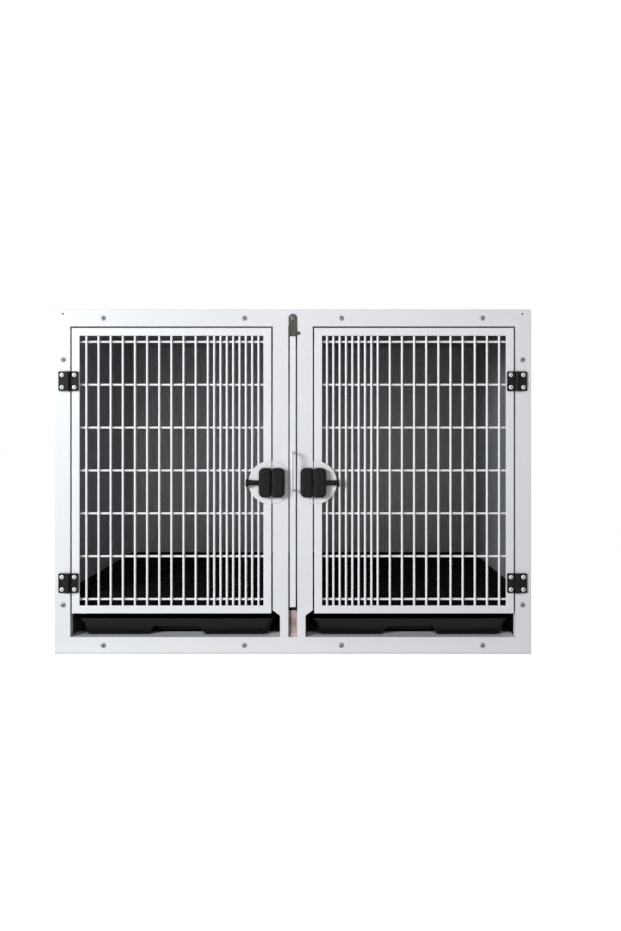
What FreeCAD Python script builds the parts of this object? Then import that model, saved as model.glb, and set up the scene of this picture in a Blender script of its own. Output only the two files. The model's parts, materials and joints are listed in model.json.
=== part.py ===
import FreeCAD, Part
import math
import os

# Two-compartment modular animal cage: grey boards behind a white formed-steel front, two hinged wire
# doors with spring latches, two pull-out trays under raised floor panels, and a divider that slides out
# through a slot in the centre post.
# Millimetres. Origin: middle of the underside. X to the right, Y to the back, Z up.

# Cabinet
WIDTH = 1220.0
HEIGHT = 882.0
DEPTH = 710.0
BOARD = 15.0
BACK = 9.0
BACK_SET = 12.0
GROOVE = 6.0
GROOVE_FIT = 0.3
BATTEN_DEPTH = 30.0

# Front frame, folded from sheet
SHEET = 2.0
STILE = 40.5
RAIL = 43.5
POST = 102.0
SLOT = 23.0
LEG = 21.0
LEG_DROP = 5.5
LEG_STEP = 13.5
RETURN = 20.0
SLOT_RETURN = 8.0
SHELF = 55.0
LINK_HOLE = 5.0
LINK_EDGE_X = 22.0
LINK_EDGE_Z = 11.5
LINK_DEPTH = 25.0

# Doors
DOOR_FOOT = 104.0
DOOR_GAP = 4.0
ANGLE = 20.0
ANGLE_WALL = 3.0
WIRE = 5.2
WIDE_WIRES = 11
FINE_WIRES = 8
FINE_SHARE = 0.522
HINGE_SIDE_EDGE = 16.3
LATCH_SIDE_EDGE = 12.8
ROWS = 7
ROW_EDGE = 14.6

# Hinges
HINGE = 50.0
HINGE_EDGE = 37.0
LEAF = 4.5
BARREL = 11.0
BARREL_SIDES = 12
AXIS_OUT = 6.0
PIN = 4.4
PIN_FIT = 0.1
KNUCKLES = 3
KNUCKLE_GAP = 0.3
HINGE_CORNER = 3.0
HINGE_HOLES = 31.5
UPPER_HINGE_DROP = 136.5
LOWER_HINGE_RISE = 78.0

# Latches
LATCH_RISE = 335.0
PLATE = 2.0
PLATE_RADIUS = 55.0
PLATE_OFFSET = 5.0
CASE_WIDTH = 31.5
CASE_HEIGHT = 75.0
CASE_DEPTH = 20.0
CASE_SPLIT = 2.0
CASE_WALL = 4.0
CASE_CORNER = 11.0
CASE_INNER_CORNER = 5.0
CASE_FRONT_EDGE = 2.5
BOLT_WIDE = 10.0
BOLT_TALL = 12.0
BOLT_REACH = 11.0
BOLT_BEVEL = 6.0
BOLT_FIT = 0.3
SHANK = 8.0
COLLAR = 13.0
COLLAR_THICK = 3.0
NECK = 11.5
NECK_FLARE = 13.5
NECK_LENGTH = 27.8
TIP = 20.0
TIP_THICK = 5.0
TAIL_SIDES = 12
SPRING_WALL = 1.2
SPRING_GAP = 0.4
CASE_SCREW_PITCH = 54.0
CASE_SCREW_BITE = 12.0

# Divider and its guides
DIVIDER = 15.0
DIVIDER_HEADROOM = 27.5
DIVIDER_TRIM = 4.0
TONGUE = 15.0
GUIDE_FIT = 0.5
GUIDE_WALL = 3.0
GUIDE_LIP = 12.0
GLIDE_BASE = 10.0
SILL = 59.0
SILL_TOP = 110.0
HEADER = 40.0
HANDLE = 96.0
HANDLE_OUT = 35.0
HANDLE_WIRE = 6.0
HANDLE_BEND = 12.0
HANDLE_RISE = 29.0

# Turn clip
CLIP = 21.0
CLIP_THICK = 2.0
CLIP_DROP = 46.5
CLIP_CORNER = 4.0
CLIP_GAP = 0.3
EAR = 8.0
EAR_TALL = 8.0
EAR_UP = 4.0
EAR_CORNER = 2.5
CROWN_SIDES = 16

# Trays, runners, floor panels and their ledges
TRAY_TALL = 46.0
TRAY_LEG_GAP = 18.0
TRAY_JAMB_GAP = 17.5
TRAY_REAR_GAP = 29.0
TRAY_SET_BACK = 9.5
TRAY_WALL = 3.0
TRAY_LIP = 2.5
TRAY_RIM = 8.0
TRAY_DRAFT = 9.0
TRAY_HEEL = 8.0
TRAY_CORNER = 18.0
RECESS = 130.0
RECESS_TOP = 116.0
RECESS_TALL = 24.0
RECESS_DEEP = 58.0
RUNNER = 20.0
RUNNER_EDGE = 40.0
FLOOR_TOP = 153.0
FLOOR_SLAB = 8.0
FLOOR_SKIRT = 4.0
FLOOR_GAP = 1.5
LEDGE = 20.0
LEDGE_TALL = 30.0
FLOOR_ROWS = 7
FLOOR_COLUMNS = 2
FLOOR_SLOT = 18.0
FLOOR_RIM = 18.0

# Screws
SCREW = 4.0
SCREW_HEAD = 11.0
FRAME_SCREW_HEAD = 13.0
SCREW_HEAD_TALL = 2.8
SCREW_FIT = 0.2
SCREW_BITE = 18.0
DOOR_SCREW_OUT = 3.0
FRAME_SCREW_EDGE_X = 125.0
FRAME_SCREW_INNER_X = 124.0
FRAME_SCREW_DROP = 129.0
FRAME_SCREW_RISE = 126.0

# Flats that a drawn round corner has
CORNER_FLATS = 4

# Planes worked out from the sizes above
FRONT = -DEPTH / 2
SHEET_BACK = FRONT + SHEET
BOARD_REAR = DEPTH / 2
WALL_Y = BOARD_REAR - BACK_SET - BACK
BATTEN_REAR = SHEET_BACK + BATTEN_DEPTH
INSIDE_X = WIDTH / 2 - BOARD
INSIDE_TOP = HEIGHT - BOARD
OPEN_OUT = WIDTH / 2 - STILE
OPEN_TOP = HEIGHT - RAIL
LEG_OUT = SLOT / 2 + LEG
POST_OUT = POST / 2
DOOR_OUT = OPEN_OUT - DOOR_GAP
DOOR_IN = POST_OUT + DOOR_GAP
DOOR_TOP = OPEN_TOP - DOOR_GAP
HINGE_X = WIDTH / 2 - HINGE_EDGE
UPPER_HINGE_Z = DOOR_TOP - UPPER_HINGE_DROP
LOWER_HINGE_Z = DOOR_FOOT + LOWER_HINGE_RISE
LATCH_Z = DOOR_FOOT + LATCH_RISE
HANDLE_Z = LATCH_Z + HANDLE_RISE
GAP_X = POST_OUT + DOOR_GAP / 2
PLATE_FRONT = FRONT - PLATE
BOLT_Y = PLATE_FRONT - CASE_DEPTH / 2
CASE_X = GAP_X + CASE_SPLIT / 2
KEEPER_X = GAP_X - CASE_SPLIT / 2
CASE_SCREW_X = DOOR_IN + ANGLE / 2
KEEPER_SCREW_X = KEEPER_X - CASE_WIDTH / 2
FLOOR_FRONT = BATTEN_REAR + FLOOR_GAP
FLOOR_REAR = WALL_Y - FLOOR_GAP
FLOOR_IN = DIVIDER / 2 + GUIDE_FIT + GUIDE_WALL + FLOOR_GAP
FLOOR_OUT = INSIDE_X - FLOOR_GAP
TRAY_FRONT = FRONT + TRAY_SET_BACK
TRAY_DEPTH = WALL_Y - TRAY_REAR_GAP - TRAY_FRONT
TRAY_INNER_X = LEG_OUT + TRAY_LEG_GAP
TRAY = OPEN_OUT - TRAY_JAMB_GAP - TRAY_INNER_X
CLIP_Z = HEIGHT - BOARD * 1.5
BATTEN_X = INSIDE_X - BOARD / 2
DIVIDER_FOOT = SILL_TOP + GLIDE_BASE
DIVIDER_TOP = OPEN_TOP - DIVIDER_HEADROOM
DIVIDER_REAR = WALL_Y - GUIDE_WALL - GUIDE_FIT

ORIGIN = FreeCAD.Vector(0, 0, 0)
ALONG_X = FreeCAD.Vector(1, 0, 0)
ALONG_Y = FreeCAD.Vector(0, 1, 0)
ALONG_Z = FreeCAD.Vector(0, 0, 1)


def vec(x, y, z):
    return FreeCAD.Vector(x, y, z)


def block(x, y, z):
    """A box between three pairs of limits."""
    return Part.makeBox(x[1] - x[0], y[1] - y[0], z[1] - z[0], vec(x[0], y[0], z[0]))


def rod(start, direction, length, diameter):
    return Part.makeCylinder(diameter / 2, length, start, direction)


def outline(start, direction, across, sides):
    """A regular polygon square to the direction, with flats that face the axes."""
    turn = FreeCAD.Rotation(ALONG_Z, direction)
    radius = across / 2 / math.cos(math.pi / sides)
    angles = [(2 * i + 1) * math.pi / sides for i in range(sides + 1)]
    return Part.makePolygon([start + turn.multVec(vec(radius * math.cos(a), radius * math.sin(a), 0))
                             for a in angles])


def bar(start, direction, length, across, sides=8):
    """A many-sided bar: round wire, screws and their holes, drawn with few faces."""
    return Part.Face(outline(start, direction, across, sides)).extrude(direction * length)


def loop(corners):
    return Part.makePolygon(corners + corners[:1])


def face_xz(points, y):
    """A flat face at depth y through corner points given as (x, z)."""
    return Part.Face(loop([vec(x, y, z) for x, z in points]))


def soft_rectangle(across, up, radii):
    """Points of a rectangle with round corners, each of a few flats, anticlockwise from low-low."""
    points = []
    for k, radius in enumerate(radii):
        x = across[1] - radius if k in (1, 2) else across[0] + radius
        y = up[1] - radius if k in (2, 3) else up[0] + radius
        flats = CORNER_FLATS if radius > 0 else 0
        turns = [math.pi + math.pi / 2 * (k + i / CORNER_FLATS) for i in range(flats + 1)]
        points += [(x + radius * math.cos(a), y + radius * math.sin(a)) for a in turns]
    return points


def soft_plate(x, y, z, radii):
    """A plate through the depths y, with round corners seen from the front."""
    return face_xz(soft_rectangle(x, z, radii), y[0]).extrude(ALONG_Y * (y[1] - y[0]))


def fused(shapes):
    return shapes[0].fuse(shapes[1:]).removeSplitter()


def drilled(shape, holes):
    return shape.cut(holes) if holes else shape


def other_side(shape):
    """The same piece on the right-hand half of the cage."""
    return shape.mirror(ORIGIN, ALONG_X)


def runs_along(edge, axis):
    if not isinstance(edge.Curve, Part.Line):
        return False
    return abs(abs(edge.Curve.Direction.dot(axis)) - 1) < 1e-6


def pan_screw(seat, length, across=SCREW_HEAD):
    """A pan-head screw driven along +Y, with the underside of its head at the seat."""
    head = bar(seat - ALONG_Y * SCREW_HEAD_TALL, ALONG_Y, SCREW_HEAD_TALL, across)
    return fused([head, bar(seat, ALONG_Y, length, SCREW)])


def screw_hole(seat, length):
    return bar(seat, ALONG_Y, length, SCREW + 2 * SCREW_FIT)


# Positions of the fasteners

def frame_screw_places():
    outer = WIDTH / 2 - FRAME_SCREW_EDGE_X
    xs = (-outer, -FRAME_SCREW_INNER_X, FRAME_SCREW_INNER_X, outer)
    rows = [(x, z) for z in (CLIP_Z, BOARD * 1.5) for x in xs]
    sides = [(s * BATTEN_X, z) for s in (-1, 1) for z in (HEIGHT - FRAME_SCREW_DROP, FRAME_SCREW_RISE)]
    return rows + sides


def hinge_screw_places(side):
    """Left-hand hinge screws on the frame (side -1) or on the door (side 1)."""
    x = -HINGE_X + side * HINGE_HOLES / 2
    zs = (UPPER_HINGE_Z, LOWER_HINGE_Z)
    return [(x, z + up * HINGE_HOLES / 2) for z in zs for up in (-1, 1)]


def both_sides(places):
    return places + [(-x, z) for x, z in places]


def case_screw_heights():
    return [LATCH_Z - CASE_SCREW_PITCH / 2, LATCH_Z + CASE_SCREW_PITCH / 2]


def front_screw_holes(start):
    """Holes behind the frame for its own screws and for the hinge screws."""
    places = frame_screw_places() + both_sides(hinge_screw_places(-1))
    return [screw_hole(vec(x, start, z), SCREW_BITE + SHEET + SCREW_FIT) for x, z in places]


def link_holes(start, length):
    x = WIDTH / 2 - LINK_EDGE_X
    z = HEIGHT - LINK_EDGE_Z
    return [rod(vec(s * x, start, z), ALONG_Y, length, LINK_HOLE) for s in (-1, 1)]


# Cabinet

def back_groove():
    """The groove that the boards hold the back panel in."""
    x, top = INSIDE_X + GROOVE + GROOVE_FIT, INSIDE_TOP + GROOVE + GROOVE_FIT
    return block((-x, x), (WALL_Y - GROOVE_FIT, WALL_Y + BACK + GROOVE_FIT), (HEIGHT - top, top))


def bottom_board():
    board = block((-WIDTH / 2, WIDTH / 2), (SHEET_BACK, BOARD_REAR), (0, BOARD))
    return board.cut(back_groove())


def top_board():
    board = block((-WIDTH / 2, WIDTH / 2), (SHEET_BACK, BOARD_REAR), (INSIDE_TOP, HEIGHT))
    return board.cut([back_groove()] + link_holes(SHEET_BACK, LINK_DEPTH))


def side_board():
    board = block((-WIDTH / 2, -INSIDE_X), (SHEET_BACK, BOARD_REAR), (BOARD, INSIDE_TOP))
    return board.cut(back_groove())


def back_panel():
    x, low, high = INSIDE_X + GROOVE, BOARD - GROOVE, INSIDE_TOP + GROOVE
    return block((-x, x), (WALL_Y, WALL_Y + BACK), (low, high))


def front_battens():
    y = (SHEET_BACK, BATTEN_REAR)
    low, high = BOARD * 2, INSIDE_TOP - BOARD
    battens = [
        block((-INSIDE_X, INSIDE_X), y, (BOARD, low)),
        block((-INSIDE_X, INSIDE_X), y, (high, INSIDE_TOP)),
        block((-INSIDE_X, BOARD - INSIDE_X), y, (low, high)),
        block((INSIDE_X - BOARD, INSIDE_X), y, (low, high)),
    ]
    holes = front_screw_holes(SHEET_BACK)
    holes.append(screw_hole(vec(0, SHEET_BACK, CLIP_Z), SCREW_BITE + SHEET + SCREW_FIT))
    return Part.makeCompound([drilled(b, holes) for b in battens])


# Front frame

def opening_points():
    """Outline of the right-hand opening: the post narrows to a leg below the door."""
    leg_top = DOOR_FOOT - LEG_DROP
    return [(POST_OUT, OPEN_TOP), (OPEN_OUT, OPEN_TOP), (OPEN_OUT, RAIL), (LEG_OUT, RAIL),
            (LEG_OUT, leg_top), (POST_OUT, leg_top + LEG_STEP)]


def slot_points():
    half = SLOT / 2
    return [(-half, OPEN_TOP), (half, OPEN_TOP), (half, RAIL), (-half, RAIL)]


def folded_edge(points, depth):
    """The return folded back all round a cut-out."""
    hole = face_xz(points, FRONT)
    ring = Part.Face(hole.OuterWire.makeOffset2D(SHEET, 2)).cut(hole)
    return ring.extrude(ALONG_Y * depth)


def front_frame():
    corners = [(-WIDTH / 2, 0), (WIDTH / 2, 0), (WIDTH / 2, HEIGHT), (-WIDTH / 2, HEIGHT)]
    right = opening_points()
    left = [(-x, z) for x, z in right]
    cuts = [face_xz(p, FRONT) for p in (right, left, slot_points())]
    sheet = face_xz(corners, FRONT).cut(cuts).extrude(ALONG_Y * SHEET)
    shelf = block((LEG_OUT, OPEN_OUT), (FRONT, FRONT + SHELF), (RAIL - SHEET, RAIL))
    frame = fused([sheet, folded_edge(right, RETURN), folded_edge(left, RETURN),
                   folded_edge(slot_points(), SLOT_RETURN), shelf, other_side(shelf)])
    start = FRONT - SCREW_FIT
    holes = front_screw_holes(start) + link_holes(start, SHEET * 2)
    holes += [screw_hole(vec(s * KEEPER_SCREW_X, start, z), SHEET * 2)
              for s in (-1, 1) for z in case_screw_heights()]
    holes.append(screw_hole(vec(0, start, CLIP_Z), SHEET * 2))
    return drilled(frame, holes)


def front_frame_screws():
    return Part.makeCompound([pan_screw(vec(x, FRONT, z), SHEET + SCREW_BITE, FRAME_SCREW_HEAD)
                              for x, z in frame_screw_places()])


# Hinges

def knuckle_spans(first):
    """Heights of every other knuckle, counted from the hinge's lower end."""
    pitch = HINGE / KNUCKLES
    return [(i * pitch, (i + 1) * pitch) for i in range(first, KNUCKLES, 2)]


def hinge_leaf(side):
    """One leaf about a pin axis through the origin: side -1 for the frame, 1 for the door."""
    own = knuckle_spans(0 if side < 0 else 1)
    others = knuckle_spans(1 if side < 0 else 0)
    x = sorted((0, side * HINGE / 2))
    low, high = (HINGE_CORNER, 0) if side < 0 else (0, HINGE_CORNER)
    leaf = soft_plate(x, (AXIS_OUT - LEAF, AXIS_OUT), (0, HINGE), (low, high, high, low))
    leaf = fused([leaf] + [bar(vec(0, 0, a), ALONG_Z, b - a, BARREL, BARREL_SIDES) for a, b in own])
    clear = BARREL + 2 * KNUCKLE_GAP
    cuts = [bar(vec(0, 0, a - KNUCKLE_GAP), ALONG_Z, b - a + 2 * KNUCKLE_GAP, clear, BARREL_SIDES)
            for a, b in others]
    cuts.append(bar(ORIGIN, ALONG_Z, HINGE, PIN + 2 * PIN_FIT, BARREL_SIDES))
    for up in (-1, 1):
        seat = vec(side * HINGE_HOLES / 2, AXIS_OUT - LEAF, HINGE / 2 + up * HINGE_HOLES / 2)
        cuts.append(screw_hole(seat, LEAF))
    return leaf.cut(cuts)


def hinge_place(z):
    return vec(-HINGE_X, FRONT - AXIS_OUT, z - HINGE / 2)


def placed_leaf(side, z):
    return hinge_leaf(side).translate(hinge_place(z))


def hinge_pins():
    return Part.makeCompound([bar(hinge_place(z), ALONG_Z, HINGE, PIN, BARREL_SIDES)
                              for z in (UPPER_HINGE_Z, LOWER_HINGE_Z)])


def hinge_frame_screws():
    places = both_sides(hinge_screw_places(-1))
    return Part.makeCompound([pan_screw(vec(x, FRONT - LEAF, z), LEAF + SCREW_BITE) for x, z in places])


def hinge_door_screws():
    length = LEAF + ANGLE_WALL + DOOR_SCREW_OUT
    return Part.makeCompound([pan_screw(vec(x, FRONT - LEAF, z), length)
                              for x, z in hinge_screw_places(1)])


# Doors, modelled on the left

def mitred_angle(length):
    """Angle steel along X from the origin, mitred at its ends: a front leg and one along the outer edge."""
    front = [(0, 0), (length, 0), (length - ANGLE, ANGLE), (ANGLE, ANGLE)]
    blank = face_xz(front, FRONT).extrude(ALONG_Y * ANGLE)
    return blank.cut(block((0, length), (FRONT + ANGLE_WALL, FRONT + ANGLE), (ANGLE_WALL, ANGLE)))


def door_frame():
    wide, tall = DOOR_OUT - DOOR_IN, DOOR_TOP - DOOR_FOOT
    turns = [(wide, 0, (-DOOR_OUT, DOOR_FOOT)), (tall, -90, (-DOOR_IN, DOOR_FOOT)),
             (wide, 180, (-DOOR_IN, DOOR_TOP)), (tall, 90, (-DOOR_OUT, DOOR_TOP))]
    places = hinge_screw_places(1) + [(-CASE_SCREW_X, z) for z in case_screw_heights()]
    holes = [screw_hole(vec(x, FRONT, z), ANGLE_WALL) for x, z in places]
    lengths = []
    for length, turn, (x, z) in turns:
        angle = mitred_angle(length).rotate(ORIGIN, ALONG_Y, turn).translate(vec(x, 0, z))
        lengths.append(drilled(angle, holes))
    return Part.makeCompound(lengths)


def grille():
    """Upright wires welded behind the front leg, and cross wires welded behind the uprights."""
    first, last = DOOR_OUT - ANGLE - HINGE_SIDE_EDGE, DOOR_IN + ANGLE + LATCH_SIDE_EDGE
    wide = (first - last) / (WIDE_WIRES - 1 + FINE_WIRES * FINE_SHARE)
    places = [i * wide for i in range(WIDE_WIRES)]
    places += [places[-1] + (i + 1) * wide * FINE_SHARE for i in range(FINE_WIRES)]
    foot, tall = DOOR_FOOT + ANGLE_WALL, DOOR_TOP - DOOR_FOOT - 2 * ANGLE_WALL
    y = FRONT + ANGLE_WALL + WIRE / 2
    wires = [bar(vec(x - first, y, foot), ALONG_Z, tall, WIRE) for x in places]
    low, high = DOOR_FOOT + ANGLE + ROW_EDGE, DOOR_TOP - ANGLE - ROW_EDGE
    start, across = ANGLE_WALL - DOOR_OUT, DOOR_OUT - DOOR_IN - 2 * ANGLE_WALL
    y += WIRE
    wires += [bar(vec(start, y, low + i * (high - low) / (ROWS - 1)), ALONG_X, across, WIRE)
              for i in range(ROWS)]
    return Part.makeCompound(wires)


# Latches, modelled on the left

def backing_disc():
    centre = vec(-GAP_X - PLATE_OFFSET, PLATE_FRONT, LATCH_Z)
    return rod(centre, ALONG_Y, PLATE, 2 * PLATE_RADIUS)


def latch_plate():
    keep = block((-WIDTH / 2, -CASE_X), (PLATE_FRONT, FRONT), (0, HEIGHT))
    holes = [screw_hole(vec(-CASE_SCREW_X, PLATE_FRONT, z), PLATE) for z in case_screw_heights()]
    return drilled(backing_disc().common(keep), holes)


def keeper_plate():
    keep = block((-KEEPER_X, -SLOT / 2), (PLATE_FRONT, FRONT), (0, HEIGHT))
    holes = [screw_hole(vec(-KEEPER_SCREW_X, PLATE_FRONT, z), PLATE) for z in case_screw_heights()]
    return drilled(backing_disc().common(keep), holes)


def casing(x_split, away):
    """A moulded casing that stands on its plate: soft corners away from the split, smaller ones at it."""
    x = sorted((x_split, x_split + away * CASE_WIDTH))
    low, high = (CASE_CORNER, CASE_INNER_CORNER) if away < 0 else (CASE_INNER_CORNER, CASE_CORNER)

    def level(inset, y):
        half = CASE_HEIGHT / 2 - inset
        radii = [r - inset for r in (low, high, high, low)]
        points = soft_rectangle((x[0] + inset, x[1] - inset), (LATCH_Z - half, LATCH_Z + half), radii)
        return loop([vec(px, y, pz) for px, pz in points])

    front = PLATE_FRONT - CASE_DEPTH
    rims = [level(0, PLATE_FRONT), level(0, front + CASE_FRONT_EDGE), level(CASE_FRONT_EDGE, front)]
    return Part.makeLoft(rims, True, True)


def case_screw_sockets(x):
    return [screw_hole(vec(x, PLATE_FRONT - CASE_SCREW_BITE - SCREW_FIT, z), CASE_SCREW_BITE + SCREW_FIT)
            for z in case_screw_heights()]


def bolt_slot(x, grow):
    """The square way of the bolt's nose over a span of x."""
    wide, tall = BOLT_WIDE / 2 + grow, BOLT_TALL / 2 + grow
    return block(x, (BOLT_Y - wide, BOLT_Y + wide), (LATCH_Z - tall, LATCH_Z + tall))


def latch_case():
    inner, outer = -CASE_X - CASE_WALL, -CASE_X - CASE_WIDTH + CASE_WALL
    half = COLLAR / 2 + BOLT_FIT * 2
    chamber = block((outer, inner), (BOLT_Y - half, PLATE_FRONT), (LATCH_Z - half, LATCH_Z + half))
    shank = bar(vec(-CASE_X - CASE_WIDTH, BOLT_Y, LATCH_Z), ALONG_X, CASE_WALL, SHANK + 2 * BOLT_FIT)
    cuts = [chamber, shank, bolt_slot((inner, -CASE_X), BOLT_FIT)]
    return casing(-CASE_X, -1).cut(cuts + case_screw_sockets(-CASE_SCREW_X))


def keeper():
    pocket = bolt_slot((-KEEPER_X, -KEEPER_X + BOLT_REACH + CASE_WALL), BOLT_FIT * 2)
    return casing(-KEEPER_X, 1).cut([pocket] + case_screw_sockets(-KEEPER_SCREW_X))


def latch_bolt():
    """Square nose, a collar for the spring, an eight-sided shank and a flared pull tail."""
    root = -CASE_X - CASE_WALL - BOLT_FIT
    nose = bolt_slot((root, -KEEPER_X + BOLT_REACH), 0)
    lead = [e for e in nose.Edges if runs_along(e, ALONG_Z) and e.CenterOfMass.y > BOLT_Y
            and e.CenterOfMass.x > -GAP_X]
    nose = nose.makeChamfer(BOLT_BEVEL, lead)
    collar = bar(vec(root - COLLAR_THICK, BOLT_Y, LATCH_Z), ALONG_X, COLLAR_THICK, COLLAR)
    neck = -CASE_X - CASE_WIDTH - BOLT_FIT
    shank = bar(vec(neck, BOLT_Y, LATCH_Z), ALONG_X, root - neck, SHANK)
    end = neck - NECK_LENGTH
    rims = [outline(vec(x, BOLT_Y, LATCH_Z), ALONG_X, across, TAIL_SIDES)
            for x, across in ((end, NECK_FLARE), (neck, NECK))]
    tip = bar(vec(end - TIP_THICK, BOLT_Y, LATCH_Z), ALONG_X, TIP_THICK, TIP, TAIL_SIDES)
    return fused([Part.makeLoft(rims, True, True), tip, shank, collar, nose])


def latch_spring():
    """The return spring between the collar and the end wall, as a sleeve of its outer size."""
    start = -CASE_X - CASE_WIDTH + CASE_WALL
    length = CASE_WIDTH - 2 * CASE_WALL - BOLT_FIT - COLLAR_THICK
    bore = SHANK + 2 * SPRING_GAP
    sleeve = bar(vec(start, BOLT_Y, LATCH_Z), ALONG_X, length, bore + 2 * SPRING_WALL)
    return sleeve.cut(bar(vec(start, BOLT_Y, LATCH_Z), ALONG_X, length, bore))


def rear_screw(x, z, seat, length):
    """A screw driven along -Y from behind a face at the seat."""
    screw = pan_screw(ORIGIN, length)
    return screw.rotate(ORIGIN, ALONG_Z, 180).translate(vec(x, seat, z))


def latch_screws():
    length = ANGLE_WALL + PLATE + CASE_SCREW_BITE
    return Part.makeCompound([rear_screw(-CASE_SCREW_X, z, FRONT + ANGLE_WALL, length)
                              for z in case_screw_heights()])


def keeper_screws():
    length = SHEET + PLATE + CASE_SCREW_BITE
    return Part.makeCompound([rear_screw(s * KEEPER_SCREW_X, z, SHEET_BACK, length)
                              for s in (-1, 1) for z in case_screw_heights()])


# Divider, its guides and the turn clip

def centre_sill():
    sill = block((-SILL / 2, SILL / 2), (FRONT + SLOT_RETURN, WALL_Y), (BOARD, SILL_TOP))
    notch = block((-SILL / 2, SILL / 2), (FRONT + SLOT_RETURN, BATTEN_REAR), (BOARD, BOARD * 2))
    return sill.cut(notch)


def guide_channel(lip):
    """Cross-section of a divider guide, closed below: (x, height) with the divider's edge at height 0."""
    inner = DIVIDER / 2 + GUIDE_FIT
    outer = inner + GUIDE_WALL
    return [(-outer, -GLIDE_BASE), (outer, -GLIDE_BASE), (outer, lip), (inner, lip), (inner, 0), (-inner, 0),
            (-inner, lip), (-outer, lip)]


def divider_glide():
    profile = [(x, DIVIDER_FOOT + up) for x, up in guide_channel(GUIDE_LIP)]
    start = FRONT + SLOT_RETURN
    return face_xz(profile, start).extrude(ALONG_Y * (WALL_Y - start))


def divider_header():
    """The upper guide: a grooved board under the top board, behind the batten."""
    y, foot = (BATTEN_REAR, WALL_Y), DIVIDER_TOP - GUIDE_LIP
    half = DIVIDER / 2 + GUIDE_FIT
    board = block((-HEADER / 2, HEADER / 2), y, (foot, INSIDE_TOP))
    return board.cut(block((-half, half), y, (foot, DIVIDER_TOP + GUIDE_FIT)))


def divider_rear_guide():
    inner = DIVIDER / 2 + GUIDE_FIT
    outer = inner + GUIDE_WALL
    z = (DIVIDER_FOOT + GUIDE_LIP, DIVIDER_TOP - GUIDE_LIP)
    front = DIVIDER_REAR - GUIDE_LIP
    rail = block((-outer, outer), (front, WALL_Y), z)
    return rail.cut(block((-inner, inner), (front, DIVIDER_REAR + GUIDE_FIT), z))


def divider_board():
    x, y = (-DIVIDER / 2, DIVIDER / 2), (FRONT + DIVIDER_TRIM, DIVIDER_REAR)
    return block(x, y, (DIVIDER_FOOT, DIVIDER_TOP))


def divider_trim():
    """Edge strip, with a tongue at the top that the turn clip hangs in front of."""
    x, y = (-DIVIDER / 2, DIVIDER / 2), (FRONT, FRONT + DIVIDER_TRIM)
    return block(x, y, (DIVIDER_FOOT, DIVIDER_TOP + TONGUE))


def divider_handle():
    """A D-shaped pull bent from round wire, square to the divider's edge."""
    low, high = HANDLE_Z - HANDLE / 2, HANDLE_Z + HANDLE / 2
    out = FRONT - HANDLE_OUT + HANDLE_WIRE / 2
    bend = HANDLE_BEND
    mid = bend * (1 - math.cos(math.pi / 4))
    ends = [(low, bend, mid), (high, -bend, -mid)]
    starts = [vec(0, out + bend, z) for z, _, _ in ends]
    turns = [vec(0, out + mid, z + m) for z, _, m in ends]
    stops = [vec(0, out, z + b) for z, b, _ in ends]
    path = [
        Part.LineSegment(vec(0, FRONT, low), starts[0]).toShape(),
        Part.Arc(starts[0], turns[0], stops[0]).toShape(),
        Part.LineSegment(stops[0], stops[1]).toShape(),
        Part.Arc(stops[1], turns[1], starts[1]).toShape(),
        Part.LineSegment(starts[1], vec(0, FRONT, high)).toShape(),
    ]
    section = outline(vec(0, FRONT, low), ALONG_Y, HANDLE_WIRE, 8)
    return Part.Wire(path).makePipeShell([section], True, False)


def divider_clip():
    """A flat turn clip that hangs from its screw, round at the top, with a thumb ear low on its right."""
    back = FRONT - CLIP_GAP
    y = (back - CLIP_THICK, back)
    foot = CLIP_Z - CLIP_DROP
    blade = soft_plate((-CLIP / 2, CLIP / 2), y, (foot, CLIP_Z), (CLIP_CORNER, CLIP_CORNER, 0, 0))
    crown = bar(vec(0, y[0], CLIP_Z), ALONG_Y, CLIP_THICK, CLIP, CROWN_SIDES)
    foot += EAR_UP
    ear = soft_plate((0, CLIP / 2 + EAR), y, (foot, foot + EAR_TALL), (0, EAR_CORNER, EAR_CORNER, 0))
    return fused([blade, crown, ear]).cut(screw_hole(vec(0, y[0], CLIP_Z), CLIP_THICK))


def clip_screw():
    seat = FRONT - 2 * CLIP_GAP - CLIP_THICK
    return pan_screw(vec(0, seat, CLIP_Z), FRONT - seat + SHEET + SCREW_BITE)


# Trays and floors, modelled on the left

def tray_outline(inset, z):
    """A horizontal outline of the tray, drawn in by the inset on all sides."""
    x = (-TRAY_INNER_X - TRAY + inset, -TRAY_INNER_X - inset)
    y = (TRAY_FRONT + inset, TRAY_FRONT + TRAY_DEPTH - inset)
    points = soft_rectangle(x, y, [TRAY_CORNER - inset / 2] * 4)
    return loop([vec(px, py, z) for px, py in points])


def tray_form(inset, floor_z):
    """The tray's drafted bowl, grown smaller by the inset, from its heel to its rim."""
    heel = floor_z + TRAY_HEEL
    rim = RAIL + TRAY_TALL
    foot = TRAY_LIP + TRAY_DRAFT
    levels = [(foot + TRAY_HEEL, floor_z), (foot, heel), (TRAY_LIP, rim)]
    return Part.makeLoft([tray_outline(draw + inset, z) for draw, z in levels], True, True)


def finger_recess(grow):
    """The hollow moulded under the middle of the front wall."""
    middle = -TRAY_INNER_X - TRAY / 2
    low, high, top = RECESS / 2 + grow, RECESS_TOP / 2 + grow, RAIL + RECESS_TALL + grow
    points = [(middle - low, RAIL), (middle + low, RAIL), (middle + high, top), (middle - high, top)]
    return face_xz(points, TRAY_FRONT).extrude(ALONG_Y * (RECESS_DEEP + grow))


def tray():
    rim = RAIL + TRAY_TALL
    lip = Part.Face(tray_outline(0, rim - TRAY_RIM)).extrude(ALONG_Z * TRAY_RIM)
    hollow = tray_form(TRAY_WALL, RAIL + TRAY_WALL).cut(finger_recess(TRAY_WALL))
    return fused([tray_form(0, RAIL), lip]).cut([finger_recess(0), hollow])


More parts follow.
